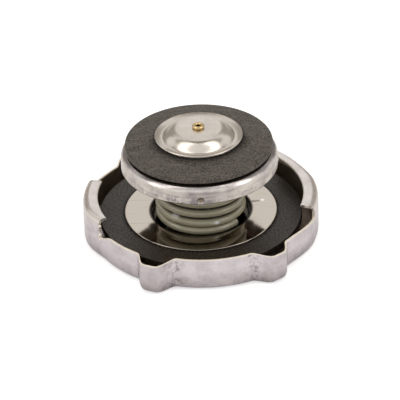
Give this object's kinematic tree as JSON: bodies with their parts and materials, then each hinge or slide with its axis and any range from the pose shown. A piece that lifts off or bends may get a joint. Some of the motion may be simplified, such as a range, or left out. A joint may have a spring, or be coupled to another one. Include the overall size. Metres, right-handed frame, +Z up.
{
  "type": "radiator cap",
  "caption": "Pressure radiator cap with a lobed stamped shell and bayonet ears, carrying a spring-loaded seal and a central vacuum valve.",
  "frame": {"origin": "middle of the box at its bottom, on the ground plane that the crown's bead rests on", "axes": "+Z up along the axis that the shell and both valves share, with the valves on top; +X towards the right-hand bayonet ear and -Y towards the dent in the valve cup"},
  "size_m": [0.0696, 0.0682, 0.0366],
  "materials": {
    "stainless_shell": "stamped stainless sheet, satin with smudges",
    "gasket_rubber": "matt speckled rubber",
    "polished_steel": "mirror polished sheet",
    "plated_steel": "zinc plated",
    "spring_paint": "grey-green gloss paint on spring wire",
    "cup_steel": "drawn sheet, mottled satin",
    "seal_rubber": "matt rubber with fine scratches",
    "dish_steel": "satin stainless",
    "stem_brass": "rolled brass"
  },
  "bodies": {
    "shell": {"outer_shell": "stainless_shell", "top_gasket": "gasket_rubber"},
    "inner": {"retaining_disc": "polished_steel", "swivel_washer": "plated_steel", "centre_rivet": "plated_steel", "guide_cup": "plated_steel", "pressure_spring": "spring_paint"},
    "valve": {"valve_cup": "cup_steel", "valve_plunger": "plated_steel", "pressure_seal": "seal_rubber", "vacuum_spring": "plated_steel"},
    "vacuum": {"vacuum_dish": "dish_steel", "vacuum_stem": "stem_brass", "spring_retainer": "stem_brass"}
  },
  "joints": [
    {"name": "inner_swivel", "type": "hinge", "parent": "shell", "child": "inner", "pos_m": [0, 0, 0.0044], "axis": [0, 0, 1], "continuous": true},
    {"name": "valve_slide", "type": "slide", "parent": "inner", "child": "valve", "axis": [0, 0, -1], "range_m": [0, 0.0035], "stiffness_N_per_m": 11000, "springref_m": -0.006, "deforming": ["pressure_spring"]},
    {"name": "vacuum_slide", "type": "slide", "parent": "valve", "child": "vacuum", "axis": [0, 0, 1], "range_m": [0, 0.0015], "stiffness_N_per_m": 300, "springref_m": -0.002, "deforming": ["vacuum_spring"]}
  ]
}
